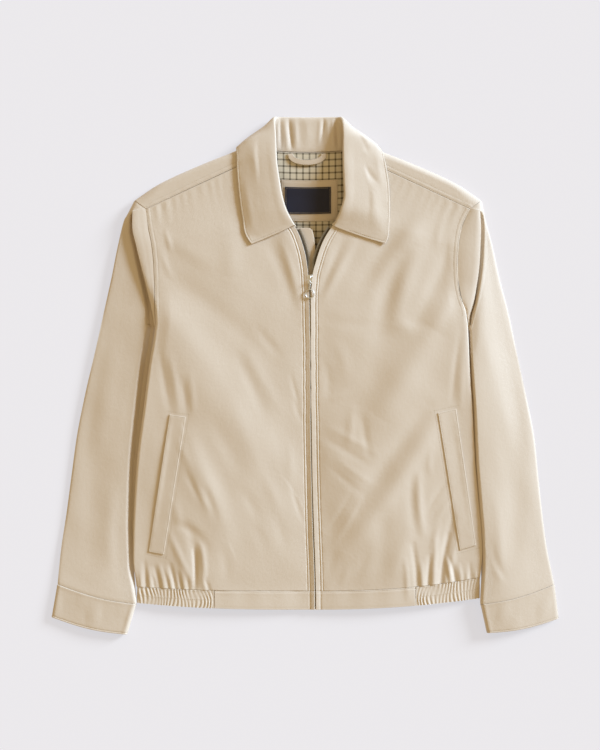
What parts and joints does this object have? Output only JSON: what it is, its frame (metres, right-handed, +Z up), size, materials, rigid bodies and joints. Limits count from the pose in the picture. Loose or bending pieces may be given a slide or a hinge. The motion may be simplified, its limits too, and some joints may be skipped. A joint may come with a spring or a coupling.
{
  "type": "harrington jacket",
  "caption": "Zip-front cotton harrington jacket lying flat on its back, with a shirt collar, long cuffed sleeves, slanted welt pockets, a checked lining and an elasticated hem.",
  "frame": {"origin": "bottom centre of the jacket's box, on the surface that it lies on", "axes": "+Z up from the surface, +Y from the hem to the collar, +X to the wearer's left, so to the right as seen from above"},
  "size_m": [0.7624, 0.7784, 0.0268],
  "materials": {
    "cotton": "matt tight-woven stone-coloured cotton with a faint sheen",
    "check_lining": "matt checked cotton lining, olive lines on beige",
    "label": "matt woven navy label, bare",
    "zip_tape": "matt dark brown woven tape",
    "nickel": "bright nickel plate"
  },
  "bodies": {
    "jacket": {"back": "cotton", "front_right": "cotton", "front_left": "cotton", "sleeve_right": "cotton", "sleeve_left": "cotton", "cuff_right": "cotton", "cuff_left": "cotton", "hem_elastic_right": "cotton", "hem_elastic_left": "cotton", "hem_front_right": "cotton", "hem_front_left": "cotton", "hem_back": "cotton", "welt_right": "cotton", "welt_left": "cotton", "collar": "cotton", "zip_guard": "cotton", "hanger_loop": "cotton", "neck_patch": "cotton", "lining": "check_lining", "neck_label": "label", "zip_tape_right": "zip_tape", "zip_tape_left": "zip_tape", "zip_slider": "nickel"},
    "pull": {"zip_pull": "nickel"}
  },
  "joints": [
    {"name": "pull_hinge", "type": "hinge", "parent": "jacket", "child": "pull", "pos_m": [0.0069, 0.14053, 0.02326], "axis": [-1, 0, 0], "range_deg": [0, 170]}
  ]
}
